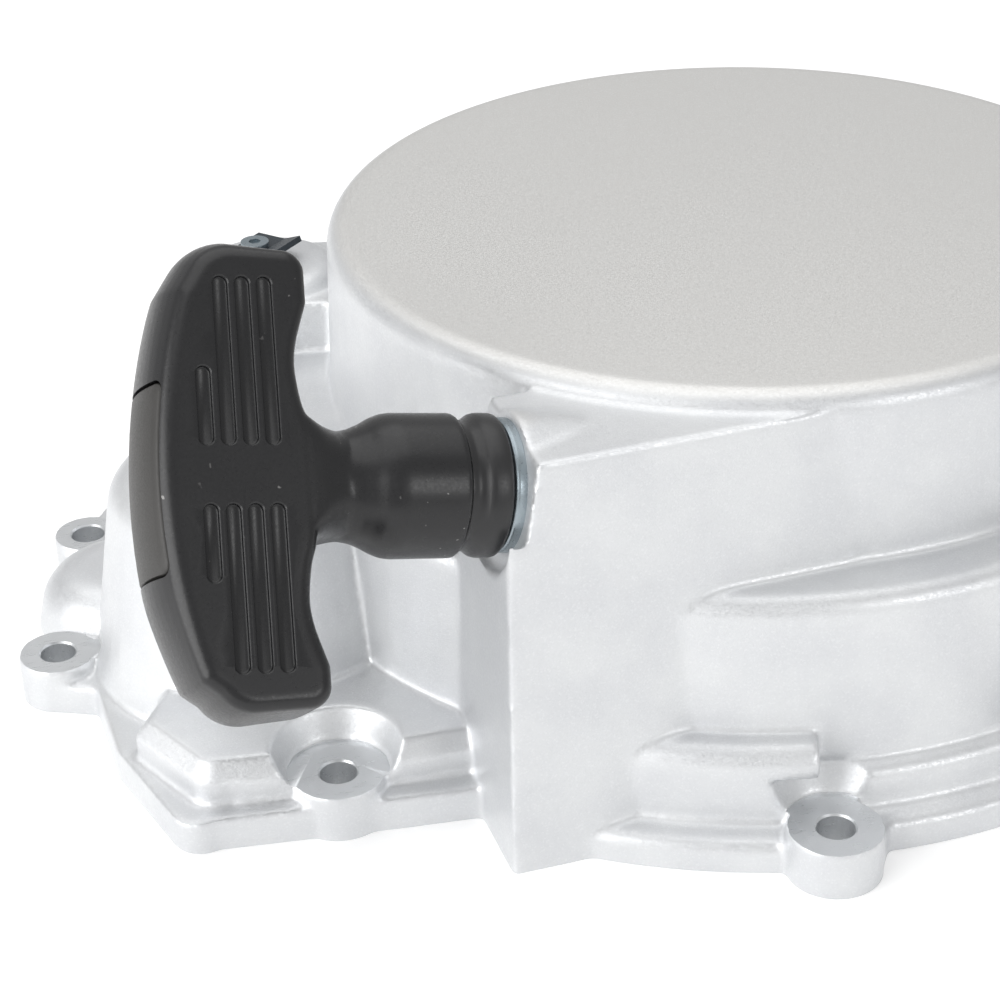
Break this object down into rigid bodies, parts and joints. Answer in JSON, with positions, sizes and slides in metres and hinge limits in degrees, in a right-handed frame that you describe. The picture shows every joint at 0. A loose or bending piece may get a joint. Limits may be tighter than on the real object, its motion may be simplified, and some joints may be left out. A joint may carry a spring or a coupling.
{
  "type": "recoil starter",
  "caption": "Cast drum-shaped recoil starter cover with a rope reel and pawl clutch inside and a T-shaped pull handle on a sealed rope guide.",
  "frame": {"origin": "on the reel axis, in the plane of the gasket face", "axes": "+Z out of the engine along the reel axis, the rope leaves towards -X, beside the drum on its -Y side"},
  "size_m": [0.2637, 0.2222, 0.1109],
  "materials": {
    "cast_aluminium": "fine-blasted, bright on the fillets",
    "zinc_steel": "zinc plated, satin",
    "white_nylon": "satin natural nylon",
    "plated_sheet": "plated pressed sheet",
    "dark_screw": "dark zinc",
    "spring_steel": "blued spring strip",
    "dark_clip": "black coated",
    "reel_nylon": "moulded glass-filled nylon",
    "bush_bronze": "sintered bronze",
    "rope_cord": "braided polyester",
    "pawl_steel": "hardened, dark",
    "grip_black": "fine satin moulding",
    "cap_black": "satin moulding",
    "seal_rubber": "smooth rubber"
  },
  "bodies": {
    "housing": {"cover_casting": "cast_aluminium", "guide_ferrule": "zinc_steel", "guide_liner": "white_nylon", "spring_case": "plated_sheet", "spring_case_screws": "dark_screw", "recoil_spring": "spring_steel", "centre_bolt": "dark_screw", "thrust_washer": "plated_sheet", "wire_clamp": "dark_clip", "clamp_screw": "zinc_steel"},
    "handle": {"handle_grip": "grip_black", "handle_cap": "cap_black", "handle_seal": "seal_rubber", "rope_anchor": "zinc_steel", "handle_knot": "rope_cord", "rope_run": "rope_cord"},
    "reel": {"reel": "reel_nylon", "reel_bush": "bush_bronze", "rope_coil": "rope_cord", "reel_knot": "rope_cord", "pawl_pin_a": "zinc_steel", "pawl_pin_b": "zinc_steel", "pawl_spring_a": "spring_steel", "pawl_spring_b": "spring_steel", "friction_spring": "spring_steel"},
    "friction_plate": {"friction_plate": "plated_sheet"},
    "pawl_a": {"pawl_a": "pawl_steel"},
    "pawl_b": {"pawl_b": "pawl_steel"}
  },
  "joints": [
    {"name": "handle_pull", "type": "slide", "parent": "housing", "child": "handle", "axis": [-0.9816, 0, 0.1908], "range_m": [0, 0.95], "stiffness_N_per_m": 15, "springref_m": -1, "deforming": ["rope_run"]},
    {"name": "reel_spin", "type": "hinge", "parent": "housing", "child": "reel", "pos_m": [0, 0, 0.057], "axis": [0, 0, 1], "range_deg": [-830, 0]},
    {"name": "friction_plate_turn", "type": "hinge", "parent": "reel", "child": "friction_plate", "pos_m": [0, 0, 0.044], "axis": [0, 0, 1], "range_deg": [0, 30], "stiffness_Nm_per_rad": 0.02, "springref_deg": -17.19},
    {"name": "pawl_a_swing", "type": "hinge", "parent": "reel", "child": "pawl_a", "pos_m": [0.024, 0, 0.048], "axis": [0, 0, 1], "range_deg": [0, 25.5]},
    {"name": "pawl_b_swing", "type": "hinge", "parent": "reel", "child": "pawl_b", "pos_m": [-0.024, 0, 0.048], "axis": [0, 0, 1], "range_deg": [0, 25.5]}
  ],
  "couplings": [
    {"joint": "reel_spin", "follows": "handle_pull", "rad_per_m": -15.152},
    {"joint": "pawl_a_swing", "follows": "friction_plate_turn", "ratio": 0.83333},
    {"joint": "pawl_b_swing", "follows": "friction_plate_turn", "ratio": 0.83333}
  ]
}
